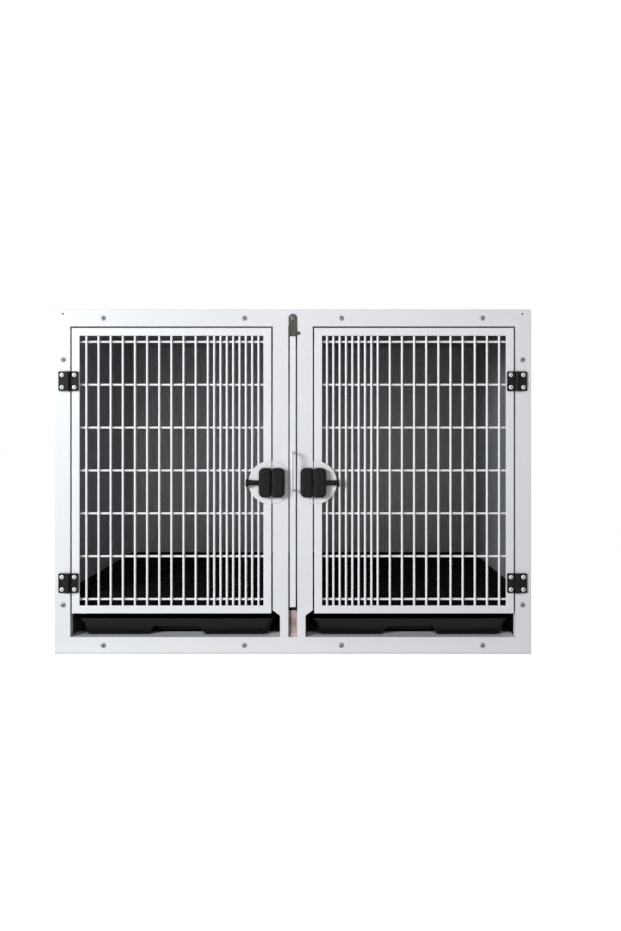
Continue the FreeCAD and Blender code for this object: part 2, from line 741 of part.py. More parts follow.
def tray_runners():
    y = (FRONT + SHELF, TRAY_FRONT + TRAY_DEPTH)
    inner = -TRAY_INNER_X - RUNNER_EDGE
    outer = -TRAY_INNER_X - TRAY + RUNNER_EDGE
    spans = [(inner - RUNNER, inner), (outer, outer + RUNNER)]
    left = [block(x, y, (BOARD, RAIL)) for x in spans]
    return Part.makeCompound(left + [other_side(r) for r in left])


def floor_ledges():
    x, y = (-INSIDE_X, LEDGE - INSIDE_X), (BATTEN_REAR, WALL_Y)
    left = block(x, y, (SILL_TOP - LEDGE_TALL, SILL_TOP))
    return Part.makeCompound([left, other_side(left)])


def floor_panel(half):
    """One of the two lift-out floor panels of a compartment: 0 in front, 1 behind."""
    length = (FLOOR_REAR - FLOOR_FRONT - FLOOR_GAP) / 2
    y0 = FLOOR_FRONT + half * (length + FLOOR_GAP)
    x, y = (-FLOOR_OUT, -FLOOR_IN), (y0, y0 + length)
    under = block((x[0] + FLOOR_SKIRT, x[1] - FLOOR_SKIRT), (y[0] + FLOOR_SKIRT, y[1] - FLOOR_SKIRT),
                  (SILL_TOP, FLOOR_TOP - FLOOR_SLAB))
    column = (x[1] - x[0] - FLOOR_RIM) / FLOOR_COLUMNS
    row = (length - FLOOR_RIM) / FLOOR_ROWS
    slots = [block((x[0] + FLOOR_RIM + i * column, x[0] + (i + 1) * column),
                   (y0 + FLOOR_RIM / 2 + (j + 0.5) * row - FLOOR_SLOT / 2,
                    y0 + FLOOR_RIM / 2 + (j + 0.5) * row + FLOOR_SLOT / 2),
                   (FLOOR_TOP - FLOOR_SLAB, FLOOR_TOP))
             for i in range(FLOOR_COLUMNS) for j in range(FLOOR_ROWS)]
    return block(x, y, (SILL_TOP, FLOOR_TOP)).cut([under] + slots)


def pieces():
    """Every node of the cage by name."""
    alone = {
        "bottom_board": bottom_board(),
        "top_board": top_board(),
        "back_panel": back_panel(),
        "front_battens": front_battens(),
        "front_frame": front_frame(),
        "front_frame_screws": front_frame_screws(),
        "hinge_frame_screws": hinge_frame_screws(),
        "keeper_screws": keeper_screws(),
        "centre_sill": centre_sill(),
        "divider_glide": divider_glide(),
        "divider_header": divider_header(),
        "divider_rear_guide": divider_rear_guide(),
        "divider_board": divider_board(),
        "divider_trim": divider_trim(),
        "divider_handle": divider_handle(),
        "divider_clip": divider_clip(),
        "clip_screw": clip_screw(),
        "tray_runners": tray_runners(),
        "floor_ledges": floor_ledges(),
    }
    paired = {
        "side_board": side_board(),
        "upper_hinge_frame_leaf": placed_leaf(-1, UPPER_HINGE_Z),
        "lower_hinge_frame_leaf": placed_leaf(-1, LOWER_HINGE_Z),
        "upper_hinge_door_leaf": placed_leaf(1, UPPER_HINGE_Z),
        "lower_hinge_door_leaf": placed_leaf(1, LOWER_HINGE_Z),
        "hinge_pins": hinge_pins(),
        "hinge_door_screws": hinge_door_screws(),
        "door_frame": door_frame(),
        "door_grille": grille(),
        "latch_plate": latch_plate(),
        "latch_case": latch_case(),
        "latch_screws": latch_screws(),
        "latch_bolt": latch_bolt(),
        "latch_spring": latch_spring(),
        "keeper": keeper(),
        "keeper_plate": keeper_plate(),
        "tray": tray(),
        "front_floor_panel": floor_panel(0),
        "rear_floor_panel": floor_panel(1),
    }
    for name, shape in paired.items():
        alone["left_" + name] = shape
        alone["right_" + name] = other_side(shape)
    return alone


os.makedirs("parts", exist_ok=True)
for node, shape in pieces().items():
    if not shape.isValid() or min(s.Volume for s in shape.Solids) <= 0:
        raise ValueError(node + " is not a sound solid")
    shape.exportStep("parts/" + node + ".step")
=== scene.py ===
import bmesh
import bpy
import json
import math
from mathutils import Matrix, Vector


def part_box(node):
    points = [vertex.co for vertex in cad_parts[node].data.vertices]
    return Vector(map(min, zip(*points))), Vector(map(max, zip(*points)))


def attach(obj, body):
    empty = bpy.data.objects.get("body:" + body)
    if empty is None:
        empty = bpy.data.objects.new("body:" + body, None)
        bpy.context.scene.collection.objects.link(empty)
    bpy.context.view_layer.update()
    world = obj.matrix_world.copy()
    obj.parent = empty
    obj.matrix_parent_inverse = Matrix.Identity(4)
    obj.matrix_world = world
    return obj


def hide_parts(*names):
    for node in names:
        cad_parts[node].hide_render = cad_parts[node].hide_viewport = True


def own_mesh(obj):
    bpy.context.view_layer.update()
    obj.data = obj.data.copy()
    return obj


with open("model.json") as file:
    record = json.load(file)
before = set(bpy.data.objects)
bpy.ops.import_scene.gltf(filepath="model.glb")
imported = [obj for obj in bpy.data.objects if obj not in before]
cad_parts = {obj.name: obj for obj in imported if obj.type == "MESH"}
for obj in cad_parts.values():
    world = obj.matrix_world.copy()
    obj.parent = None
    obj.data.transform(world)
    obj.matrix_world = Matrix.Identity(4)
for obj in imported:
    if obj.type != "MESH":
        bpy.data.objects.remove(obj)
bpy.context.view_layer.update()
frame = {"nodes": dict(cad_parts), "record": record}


# Cabinet boards: bottom, top, two sides and the back panel.
# Fibreboard with a mid-grey laminate on both faces and a thin edge band, grooved for the back.
# The laminate has a dull sheen and a fine grain, upright on the walls and crosswise on top and bottom.

BODY_OF = {n: body for body, nodes in frame["record"]["behaviour"]["bodies"].items() for n in nodes}
WELD = 1e-6
FLAT = math.radians(0.5)
SHADED_SHARP = math.radians(38)
CORNER = math.radians(50)
EDGE_STEPS = 3
CIRCULAR = 0.5
EVEN = (1, 1, 1)
PLAIN_GLOSS = 0.5
MOTTLE_DETAIL = 5
MOTTLE_LOW = 0.32
MOTTLE_HIGH = 0.68
WAVE_DETAIL = 1.5
SPECK_FINER = 3.1
SPECK_SHARE = 0.35
BOARD_EDGE = 0.0008
LAMINATE_ROUGH = (0.42, 0.55)
LAMINATE_GRAIN = 16.0
LAMINATE_RELIEF = 260.0
LAMINATE_DEPTH = 0.00006
UPRIGHT = ((9, 9, 0.7), (1, 1, 0.12))
LYING = ((0.7, 9, 9), (0.12, 1, 1))
LAMINATE_DARK = (0.345, 0.357, 0.370, 1)
LAMINATE_LIGHT = (0.500, 0.514, 0.529, 1)
SIDE_SHADE_DARK = (0.240, 0.249, 0.262, 1)
SIDE_SHADE_LIGHT = (0.350, 0.362, 0.377, 1)


def new_group(name, inputs, outputs):
    """An empty shader node group with its sockets, and its two end nodes."""
    group = bpy.data.node_groups.new(name, "ShaderNodeTree")
    for label, kind, value in inputs:
        group.interface.new_socket(label, in_out="INPUT", socket_type=kind).default_value = value
    for label in outputs:
        group.interface.new_socket(label, in_out="OUTPUT", socket_type="NodeSocketFloat")
    return group, group.nodes.new("NodeGroupInput"), group.nodes.new("NodeGroupOutput")


def stretched_group(name, output):
    """A group with scale and stretch as inputs, and the piece's coordinates drawn out by the stretch."""
    group, given, out = new_group(name, [("Scale", "NodeSocketFloat", 1.0),
                                         ("Stretch", "NodeSocketVector", EVEN)], [output])
    place = group.nodes.new("ShaderNodeTexCoord")
    stretch = group.nodes.new("ShaderNodeVectorMath")
    stretch.operation = "MULTIPLY"
    group.links.new(place.outputs["Object"], stretch.inputs[0])
    group.links.new(given.outputs["Stretch"], stretch.inputs[1])
    return group, given, out, stretch.outputs["Vector"]


def mottle_group():
    """Soft tone changes: a mask from stretched noise that sits on the piece."""
    group, given, out, place = stretched_group("mottle", "Mask")
    noise = group.nodes.new("ShaderNodeTexNoise")
    noise.inputs["Detail"].default_value = MOTTLE_DETAIL
    spread = group.nodes.new("ShaderNodeMapRange")
    spread.inputs["From Min"].default_value = MOTTLE_LOW
    spread.inputs["From Max"].default_value = MOTTLE_HIGH
    group.links.new(place, noise.inputs["Vector"])
    group.links.new(given.outputs["Scale"], noise.inputs["Scale"])
    group.links.new(noise.outputs["Fac"], spread.inputs["Value"])
    group.links.new(spread.outputs["Result"], out.inputs["Mask"])
    return group


def relief_group():
    """The fine unevenness of a surface: coarse waves with small specks on top, as a height."""
    group, given, out, place = stretched_group("relief", "Height")
    coarse = group.nodes.new("ShaderNodeTexNoise")
    coarse.inputs["Detail"].default_value = WAVE_DETAIL
    fine = group.nodes.new("ShaderNodeTexVoronoi")
    finer = group.nodes.new("ShaderNodeMath")
    finer.operation = "MULTIPLY"
    finer.inputs[1].default_value = SPECK_FINER
    total = group.nodes.new("ShaderNodeMath")
    total.operation = "MULTIPLY_ADD"
    total.inputs[1].default_value = SPECK_SHARE
    for noise in (coarse, fine):
        group.links.new(place, noise.inputs["Vector"])
    group.links.new(given.outputs["Scale"], coarse.inputs["Scale"])
    group.links.new(given.outputs["Scale"], finer.inputs[0])
    group.links.new(finer.outputs[0], fine.inputs["Scale"])
    group.links.new(fine.outputs["Distance"], total.inputs[0])
    group.links.new(coarse.outputs["Fac"], total.inputs[2])
    group.links.new(total.outputs[0], out.inputs["Height"])
    return group


MOTTLE = mottle_group()
RELIEF = relief_group()


def shader_of(finish):
    return finish.node_tree.nodes["Principled BSDF"]


def placed(group, finish, scale, stretch):
    """A node group set into a material with its own scale and stretch."""
    node = finish.node_tree.nodes.new("ShaderNodeGroup")
    node.node_tree = group
    node.inputs["Scale"].default_value = scale
    node.inputs["Stretch"].default_value = stretch
    return node


def surface(name, dark, light, rough, grain, relief, depth, metallic=0.0, specular=PLAIN_GLOSS):
    """A finish with two close tones, a roughness that follows them, and a fine relief."""
    made = bpy.data.materials.new(name)
    made.use_nodes = True
    nodes, links = made.node_tree.nodes, made.node_tree.links
    shader = shader_of(made)
    shader.inputs["Metallic"].default_value = metallic
    shader.inputs["Specular IOR Level"].default_value = specular
    tone = placed(MOTTLE, made, *grain)
    height = placed(RELIEF, made, *relief)
    colour = nodes.new("ShaderNodeMix")
    colour.data_type = "RGBA"
    colour.inputs["A"].default_value = dark
    colour.inputs["B"].default_value = light
    gloss = nodes.new("ShaderNodeMapRange")
    gloss.inputs["To Min"].default_value = rough[0]
    gloss.inputs["To Max"].default_value = rough[1]
    bump = nodes.new("ShaderNodeBump")
    bump.inputs["Distance"].default_value = depth
    links.new(tone.outputs["Mask"], colour.inputs["Factor"])
    links.new(colour.outputs["Result"], shader.inputs["Base Color"])
    links.new(tone.outputs["Mask"], gloss.inputs["Value"])
    links.new(gloss.outputs["Result"], shader.inputs["Roughness"])
    links.new(height.outputs["Height"], bump.inputs["Height"])
    links.new(bump.outputs["Normal"], shader.inputs["Normal"])
    return made


def standing_for(node, shape, finish):
    """Turns a worked mesh into a shaded piece that rides with its CAD node's body and stands for it."""
    mesh = bpy.data.meshes.new(node + "_piece")
    bmesh.ops.recalc_face_normals(shape, faces=shape.faces)
    shape.to_mesh(mesh)
    shape.free()
    mesh.polygons.foreach_set("use_smooth", [True] * len(mesh.polygons))
    mesh.set_sharp_from_angle(angle=SHADED_SHARP)
    mesh.materials.append(finish)
    piece = bpy.data.objects.new(node + "_piece", mesh)
    bpy.context.scene.collection.objects.link(piece)
    even = piece.modifiers.new("even_shading", "WEIGHTED_NORMAL")
    even.keep_sharp = True
    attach(piece, BODY_OF[node])
    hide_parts(node)
    return piece


def cad_copy(node):
    """A workable copy of a CAD node's mesh, closed up and with its flat faces joined."""
    shape = bmesh.new()
    shape.from_mesh(frame["nodes"][node].data)
    bmesh.ops.remove_doubles(shape, verts=shape.verts, dist=WELD)
    bmesh.ops.dissolve_limit(shape, angle_limit=FLAT, verts=shape.verts, edges=shape.edges)
    return shape


def rounded(shape, edges, radius, segments):
    """Turns the given edges of a mesh into rounds."""
    bmesh.ops.bevel(shape, geom=edges, offset=radius, offset_type="OFFSET", segments=segments,
                    profile=CIRCULAR, affect="EDGES", clamp_overlap=True)


def broken(shape, edge):
    """The mesh with every sharp corner broken by a small round."""
    corners = [e for e in shape.edges if len(e.link_faces) == 2 and e.calc_face_angle() > CORNER]
    rounded(shape, corners, edge, EDGE_STEPS)
    return shape


def softened(node, edge, finish):
    """The CAD node with its sharp corners broken."""
    standing_for(node, broken(cad_copy(node), edge), finish)


def laminate(name, dark, light, along):
    """A laminate with its grain along the board, in the tone and in the relief."""
    return surface(name, dark, light, LAMINATE_ROUGH, grain=(LAMINATE_GRAIN, along[0]),
                   relief=(LAMINATE_RELIEF, along[1]), depth=LAMINATE_DEPTH)


grey_laminate = laminate("grey_laminate", LAMINATE_DARK, LAMINATE_LIGHT, UPRIGHT)
# Painted shade: the side, top and bottom boards take a darker copy of the laminate than the back panel.
shaded_side_laminate = laminate("shaded_side_laminate", SIDE_SHADE_DARK, SIDE_SHADE_LIGHT, UPRIGHT)
shaded_flat_laminate = laminate("shaded_flat_laminate", SIDE_SHADE_DARK, SIDE_SHADE_LIGHT, LYING)
softened("back_panel", BOARD_EDGE, grey_laminate)
for board in ("left_side_board", "right_side_board"):
    softened(board, BOARD_EDGE, shaded_side_laminate)
for board in ("bottom_board", "top_board"):
    softened(board, BOARD_EDGE, shaded_flat_laminate)


# Battens, centre sill, upper divider guide, floor ledges and tray runners.
# Plain fibreboard strips, sawn and glued inside the cabinet, with the pinkish-brown cut face left bare.
# The sill's raw end shows in the slot below the divider; the ledges beside the trays are drawn near-black.

STRIP_EDGE = 0.0006
FIBRE_DARK = (0.165, 0.117, 0.108, 1)
FIBRE_LIGHT = (0.700, 0.560, 0.535, 1)
LEDGE_DARK = (0.010, 0.010, 0.011, 1)
LEDGE_LIGHT = (0.022, 0.022, 0.024, 1)

fibreboard = surface("bare_fibreboard", FIBRE_DARK, FIBRE_LIGHT, rough=(0.80, 0.95),
                     grain=(55.0, (1, 1, 0.35)), relief=(1500.0, (1, 1, 0.4)), depth=0.0003)
near_black_ledges = surface("near_black_ledges", LEDGE_DARK, LEDGE_LIGHT, rough=(0.60, 0.75), grain=(30.0, EVEN),
                      relief=(900.0, EVEN), depth=0.0001)
for strip in ("front_battens", "centre_sill", "divider_header", "tray_runners"):
    softened(strip, STRIP_EDGE, fibreboard)
softened("floor_ledges", STRIP_EDGE, near_black_ledges)


# Front frame: one sheet-steel face with two door openings and the divider slot.
# Its edges are folded back round every cut-out, and it is coated satin white all over.
# The baked powder is faintly uneven, and grey shade is painted into its gaps and along its foot.

FOLD = 0.0009
OUTER_FOLD = 0.0018
FOLD_STEPS = 5
EDGE_NEAR = 0.0002
COAT_DARK = (0.832, 0.834, 0.842, 1)
COAT_LIGHT = (0.857, 0.859, 0.866, 1)
COAT_ROUGH = (0.36, 0.46)
SHADE_GREY = (0.200, 0.205, 0.205, 1)
SHADE_REACH = 0.008
FRAME_SHADE = 0.62
OCCLUSION_RAYS = 8
OPEN_SHARE = 0.97
CLOSED_SHARE = 0.2


def painted_shade_group():
    """Painted shade: a mask that grows in gaps and at the foot of what stands on the surface."""
    group, given, out = new_group("painted_shade", [("Reach", "NodeSocketFloat", SHADE_REACH),
                                              ("Amount", "NodeSocketFloat", 1.0)], ["Mask"])
    occlusion = group.nodes.new("ShaderNodeAmbientOcclusion")
    occlusion.samples = OCCLUSION_RAYS
    depth = group.nodes.new("ShaderNodeMapRange")
    depth.inputs["From Min"].default_value = OPEN_SHARE
    depth.inputs["From Max"].default_value = CLOSED_SHARE
    group.links.new(given.outputs["Reach"], occlusion.inputs["Distance"])
    group.links.new(occlusion.outputs["AO"], depth.inputs["Value"])
    group.links.new(given.outputs["Amount"], depth.inputs["To Max"])
    group.links.new(depth.outputs["Result"], out.inputs["Mask"])
    return group


PAINTED_SHADE = painted_shade_group()


def paint_shade_in_gaps(finish, amount):
    """Paints grey shade over a finish wherever the painted-shade mask finds occlusion."""
    nodes, links = finish.node_tree.nodes, finish.node_tree.links
    base = shader_of(finish).inputs["Base Color"]
    unshaded_colour = base.links[0].from_socket
    occlusion = nodes.new("ShaderNodeGroup")
    occlusion.node_tree = PAINTED_SHADE
    occlusion.inputs["Reach"].default_value = SHADE_REACH
    occlusion.inputs["Amount"].default_value = amount
    shaded_colour = nodes.new("ShaderNodeMix")
    shaded_colour.data_type = "RGBA"
    shaded_colour.inputs["B"].default_value = SHADE_GREY
    links.new(occlusion.outputs["Mask"], shaded_colour.inputs["Factor"])
    links.new(unshaded_colour, shaded_colour.inputs["A"])
    links.new(shaded_colour.outputs["Result"], base)


white_coat = surface("white_coat", COAT_DARK, COAT_LIGHT, COAT_ROUGH, grain=(5.0, EVEN),
                     relief=(330.0, EVEN), depth=0.00008)
# Painted shade: the frame's coat and the latch discs go grey in gaps, round what stands on them and along
# the foot.
paint_shade_in_gaps(white_coat, FRAME_SHADE)


def folded_front(node):
    """The front frame with its outer edge turned over in a wider round than its cut-outs."""
    shape = cad_copy(node)
    low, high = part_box(node)

    def on_rim(v):
        beside = min(v.co.x - low.x, high.x - v.co.x, v.co.z - low.z, high.z - v.co.z)
        return v.co.y - low.y < EDGE_NEAR and beside < EDGE_NEAR

    rim = [e for e in shape.edges
           if all(on_rim(v) for v in e.verts) and e.calc_face_angle(0) > SHADED_SHARP]
    rounded(shape, rim, OUTER_FOLD, FOLD_STEPS)
    standing_for(node, broken(shape, FOLD), white_coat)


folded_front("front_frame")


# Screws of the front frame: zinc-plated pan heads with a cross recess.
# They go through the sheet into the battens, and no two crosses stand at the same angle.

SCREW_ROUND = 28
SCREW_HEAD_TALL = 0.0028
SCREW_SHANK = 0.002
SHANK_STRAIGHT = 0.8
TIP_SHARE = 0.15
STEADY_DIGITS = 5
HEAD_PROFILE = ((1.0, 0.0), (1.0, 0.30), (0.95, 0.58), (0.83, 0.82), (0.66, 0.95), (0.52, 1.0))
CROSS_ARM = 0.50
CROSS_HALF = 0.15
CROSS_DEEP = 0.75
CROSS_FOOT = 0.55
CROSS_TURN = 2.4
ZINC_DARK = (0.185, 0.188, 0.196, 1)
ZINC_LIGHT = (0.330, 0.335, 0.345, 1)
RECESS_SHADE_DARK = (0.020, 0.020, 0.020, 1)
RECESS_SHADE_LIGHT = (0.060, 0.060, 0.060, 1)

zinc = surface("zinc_plate", ZINC_DARK, ZINC_LIGHT, rough=(0.34, 0.48), grain=(260.0, EVEN),
               relief=(1800.0, EVEN), depth=0.00004, metallic=0.75)
# Painted shade: the cross recesses take a near-black surface of their own.
recess = surface("screw_recess_shade", RECESS_SHADE_DARK, RECESS_SHADE_LIGHT, rough=(0.60, 0.80), grain=(400.0, EVEN),
                 relief=(2400.0, EVEN), depth=0.00003)


def solids(node):
    """The lowest and highest corners of each separate solid in a CAD node, in a steady order."""
    shape = bmesh.new()
    shape.from_mesh(frame["nodes"][node].data)
    bmesh.ops.remove_doubles(shape, verts=shape.verts, dist=WELD)
    left = set(shape.verts)
    boxes = []
    for first in shape.verts:
        if first not in left:
            continue
        left.discard(first)
        found, queue = [first], [first]
        while queue:
            for edge in queue.pop().link_edges:
                for other in edge.verts:
                    if other in left:
                        left.discard(other)
                        found.append(other)
                        queue.append(other)
        boxes.append((Vector(min(v.co[i] for v in found) for i in range(3)),
                      Vector(max(v.co[i] for v in found) for i in range(3))))
    shape.free()
    return sorted(boxes, key=lambda b: tuple(round(c, STEADY_DIGITS) for c in (*b[0], *b[1])))


def ring(shape, place, radius, height, count):
    """A circle of points round the Z axis of a place, at a height along it."""
    turns = [2 * math.pi * k / count for k in range(count)]
    return [shape.verts.new(place @ Vector((radius * math.cos(t), radius * math.sin(t), height)))
            for t in turns]


def skin(shape, lower, upper):
    """Quads between two rings of as many points."""
    return [shape.faces.new((lower[k - 1], lower[k], upper[k], upper[k - 1])) for k in range(len(lower))]


def pan_screw(shape, box, outward, turn):
    """One screw: a domed head with a cross recess, and a plain pointed shank."""
    low, high = box
    radius = (high.x - low.x) / 2
    seat_y = low.y + SCREW_HEAD_TALL if outward < 0 else high.y - SCREW_HEAD_TALL
    length = high.y - low.y - SCREW_HEAD_TALL
    tilt = Matrix.Rotation(math.pi / 2 * -outward, 4, "X") @ Matrix.Rotation(turn, 4, "Z")
    place = Matrix.Translation(((low.x + high.x) / 2, seat_y, (low.z + high.z) / 2)) @ tilt
    rings = [ring(shape, place, radius * share, SCREW_HEAD_TALL * up, SCREW_ROUND)
             for share, up in HEAD_PROFILE]
    for lower, upper in zip(rings, rings[1:]):
        skin(shape, lower, upper)
    arm, half = radius * CROSS_ARM, radius * CROSS_HALF
    quarter = [(arm, -half), (arm, half), (half, half)]
    cross = [Matrix.Rotation(math.pi / 2 * q, 2) @ Vector(p) for q in range(4) for p in quarter]
    floor_up = SCREW_HEAD_TALL * (1 - CROSS_DEEP)
    rim = [shape.verts.new(place @ Vector((*p, SCREW_HEAD_TALL))) for p in cross]
    foot = [shape.verts.new(place @ Vector((*(p * CROSS_FOOT), floor_up))) for p in cross]
    crown = rings[-1]
    edges = [shape.edges.new((rim[k - 1], rim[k])) for k in range(len(rim))]
    edges += [shape.edges.get((crown[k - 1], crown[k])) for k in range(len(crown))]
    bmesh.ops.bridge_loops(shape, edges=edges)
    # The recess faces take the painted-shade surface.
    for face in (*skin(shape, rim, foot), shape.faces.new(foot)):
        face.material_index = 1
    shape.faces.new(rings[0])
    neck = ring(shape, place, SCREW_SHANK, 0, SCREW_ROUND // 2)
    taper = ring(shape, place, SCREW_SHANK, -length * SHANK_STRAIGHT, SCREW_ROUND // 2)
    tip = ring(shape, place, SCREW_SHANK * TIP_SHARE, -length, SCREW_ROUND // 2)
    skin(shape, neck, taper)
    skin(shape, taper, tip)
    shape.faces.new(neck)
    shape.faces.new(tip)


def screw_set(node, outward, finish):
    """All the screws of a CAD node, heads to the front (-1) or to the back (1)."""
    shape = bmesh.new()
    for index, box in enumerate(solids(node)):
        pan_screw(shape, box, outward, CROSS_TURN * index)
    standing_for(node, shape, finish).data.materials.append(recess)


screw_set("front_frame_screws", -1, zinc)


# Divider guides: the glide on the sill and the rear channel.
# Extruded dark plastic that the divider's edges run in.

GUIDE_EDGE = 0.0004
GUIDE_DARK = (0.0050, 0.0050, 0.0052, 1)
GUIDE_LIGHT = (0.0100, 0.0100, 0.0103, 1)

guide_plastic = surface("guide_plastic", GUIDE_DARK, GUIDE_LIGHT, rough=(0.40, 0.55),
                        grain=(30.0, (1, 0.1, 1)), relief=(900.0, (1, 0.05, 1)), depth=0.00004,
                        specular=0.05)
for guide in ("divider_glide", "divider_rear_guide"):
    softened(guide, GUIDE_EDGE, guide_plastic)


# Sliding divider: a white laminated board with a white plastic strip on its front edge.
# It slides in the guides and is drawn out by a bent steel pull screwed to the strip.

PANEL_WHITE_DARK = (0.810, 0.817, 0.823, 1)
PANEL_WHITE_LIGHT = (0.850, 0.856, 0.862, 1)
TRIM_DARK = (0.860, 0.868, 0.880, 1)
TRIM_LIGHT = (0.885, 0.893, 0.905, 1)
STEEL_DARK = (0.70, 0.71, 0.72, 1)
STEEL_LIGHT = (0.82, 0.83, 0.84, 1)
PULL_SIDES = 20
PULL_BEND = 0.012
BEND_STEPS = 8

white_laminate = surface("white_laminate", PANEL_WHITE_DARK, PANEL_WHITE_LIGHT, rough=(0.40, 0.50),
                         grain=(9.0, (9, 0.7, 9)), relief=(900.0, (1, 0.15, 1)), depth=0.00005)
white_strip = surface("white_strip", TRIM_DARK, TRIM_LIGHT, rough=(0.38, 0.48), grain=(12.0, (1, 1, 0.2)),
                      relief=(700.0, (1, 1, 0.2)), depth=0.00004)
pull_steel = surface("pull_steel", STEEL_DARK, STEEL_LIGHT, rough=(0.42, 0.52), grain=(180.0, (1, 1, 0.15)),
                     relief=(2500.0, (1, 1, 0.1)), depth=0.00002, metallic=0.1)
softened("divider_board", BOARD_EDGE, white_laminate)
softened("divider_trim", STRIP_EDGE, white_strip)


def tube(shape, path, radius, sides):
    """A closed round bar along a path of points, mitred at each one."""
    rings = []
    along = path[1] - path[0]
    turn = along.to_track_quat("Z", "X")
    for k, point in enumerate(path):
        ahead = path[min(k + 1, len(path) - 1)] - path[max(k - 1, 0)]
        turn = along.rotation_difference(ahead) @ turn
        along = ahead
        place = Matrix.Translation(point) @ turn.to_matrix().to_4x4()
        rings.append(ring(shape, place, radius, 0, sides))
    for lower, upper in zip(rings, rings[1:]):
        skin(shape, lower, upper)
    shape.faces.new(rings[0])
    shape.faces.new(rings[-1])


def pull_path():
    """Out from the strip, round a bend, down the grip and back in, through the middle of the wire."""
    low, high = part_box("divider_handle")
    radius = (high.x - low.x) / 2
    x, front = (low.x + high.x) / 2, low.y + radius
    foot, head = low.z + radius, high.z - radius
    quarter = [math.pi / 2 * k / BEND_STEPS for k in range(BEND_STEPS + 1)]
    lower = [Vector((x, front + PULL_BEND * (1 - math.sin(a)), foot + PULL_BEND * (1 - math.cos(a))))
             for a in quarter]
    upper = [Vector((x, p.y, head + foot - p.z)) for p in reversed(lower)]
    return [Vector((x, high.y, foot)), *lower, *upper, Vector((x, high.y, head))], radius


pull = bmesh.new()
path, wire = pull_path()
tube(pull, path, wire, PULL_SIDES)
standing_for("divider_handle", pull, pull_steel)


# Turn clip that keeps the divider in, and the screw it hangs on.
# A stamped strip of dark olive steel, round at the top, with a thumb ear; it turns aside on its screw.

CLIP_EDGE = 0.0004
DULL_DARK = (0.230, 0.175, 0.165, 1)
DULL_LIGHT = (0.400, 0.320, 0.300, 1)
CLIP_DARK = (0.024, 0.023, 0.016, 1)
CLIP_LIGHT = (0.082, 0.078, 0.061, 1)

olive_steel = surface("olive_steel", CLIP_DARK, CLIP_LIGHT, rough=(0.34, 0.55), grain=(120.0, (1, 1, 0.3)),
                      relief=(1200.0, (1, 1, 0.3)), depth=0.00005, metallic=0.7)
dull_screw = surface("dull_screw", DULL_DARK, DULL_LIGHT, rough=(0.5, 0.62), grain=(60.0, EVEN),
                     relief=(700.0, EVEN), depth=0.00004)
softened("divider_clip", CLIP_EDGE, olive_steel)
screw_set("clip_screw", -1, dull_screw)


# Door frames: angle steel, mitred, welded and ground flush, then coated white.
# One leg is the front face and carries the grille behind it; the other runs back along the outer edge.

ANGLE_WALL = 0.003
ANGLE_EDGE = 0.0008
DOOR_DARK = (0.865, 0.867, 0.874, 1)
DOOR_LIGHT = (0.888, 0.890, 0.896, 1)
DOOR_SHADE = 0.52

door_coat = surface("door_coat", DOOR_DARK, DOOR_LIGHT, COAT_ROUGH, grain=(7.0, EVEN),
                    relief=(360.0, EVEN), depth=0.00008)
# Painted shade: the door coat goes grey in its gaps and where parts meet.
paint_shade_in_gaps(door_coat, DOOR_SHADE)


def angle_frame(node):
    """A rectangle of angle steel, drawn as one closed ring."""
    low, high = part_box(node)
    side, inner = high.y - low.y, low.y + ANGLE_WALL
    section = ((0, low.y), (side, low.y), (side, inner), (ANGLE_WALL, inner), (ANGLE_WALL, high.y),
               (0, high.y))
    shape = bmesh.new()
    loops = []
    for inset, y in section:
        x0, x1, z0, z1 = low.x + inset, high.x - inset, low.z + inset, high.z - inset
        loops.append([shape.verts.new((x, y, z)) for x, z in ((x0, z0), (x1, z0), (x1, z1), (x0, z1))])
    for lower, upper in zip(loops, loops[1:] + loops[:1]):
        skin(shape, lower, upper)
    bmesh.ops.recalc_face_normals(shape, faces=shape.faces)
    standing_for(node, broken(shape, ANGLE_EDGE), door_coat)


for side in ("left", "right"):
    angle_frame(side + "_door_frame")


# Door grilles: round steel wire, uprights in front and cross wires behind, spot-welded where they cross.
# They are welded behind the frame's front leg and coated with it; the pitch is halved beside the latch.

WIRE_SIDES = 14
WIRE_COAT = 0.0003
WIRE_LIT_DARK = (0.928, 0.930, 0.936, 1)
WIRE_LIT_LIGHT = (0.950, 0.952, 0.957, 1)
WIRE_SUNK = 0.0004
WELD_WIDE = 0.0024
WELD_DEEP = 0.0014

# Painted light: the wires take a lighter copy of the door coat, so that they look lit all round.
lit_wire_coat = surface("lit_wire_coat", WIRE_LIT_DARK, WIRE_LIT_LIGHT, COAT_ROUGH, grain=(30.0, EVEN),
                    relief=(500.0, EVEN), depth=0.00006)


def grille(node):
    """A round coated wire for each of the CAD node's, and a flat nugget wherever two are welded."""
    shape = bmesh.new()
    uprights, crossings = [], []
    for low, high in solids(node):
        size, middle = high - low, (low + high) / 2
        along = "Z" if size.z > size.x else "X"
        (uprights if along == "Z" else crossings).append(middle)
        turn = Matrix.Identity(4) if along == "Z" else Matrix.Rotation(math.pi / 2, 4, "Y")
        radius = size.y / 2 + WIRE_COAT
        bmesh.ops.create_cone(shape, cap_ends=True, segments=WIRE_SIDES, radius1=radius, radius2=radius,
                              depth=max(size) + 2 * WIRE_SUNK, matrix=Matrix.Translation(middle) @ turn)
    spread = Matrix.Diagonal((WELD_WIDE, WELD_DEEP, WELD_WIDE, 1))
    for up in uprights:
        for across in crossings:
            spot = Vector((up.x, (up.y + across.y) / 2, across.z))
            bmesh.ops.create_icosphere(shape, subdivisions=1, radius=1,
                                       matrix=Matrix.Translation(spot) @ spread)
    standing_for(node, shape, lit_wire_coat)


for side in ("left", "right"):
    grille(side + "_door_grille")


# Butt hinges: two folded leaves and a pin each, coated black, four bright nickel screws each.
# The coat has a faint grey sheen that varies in random patches.

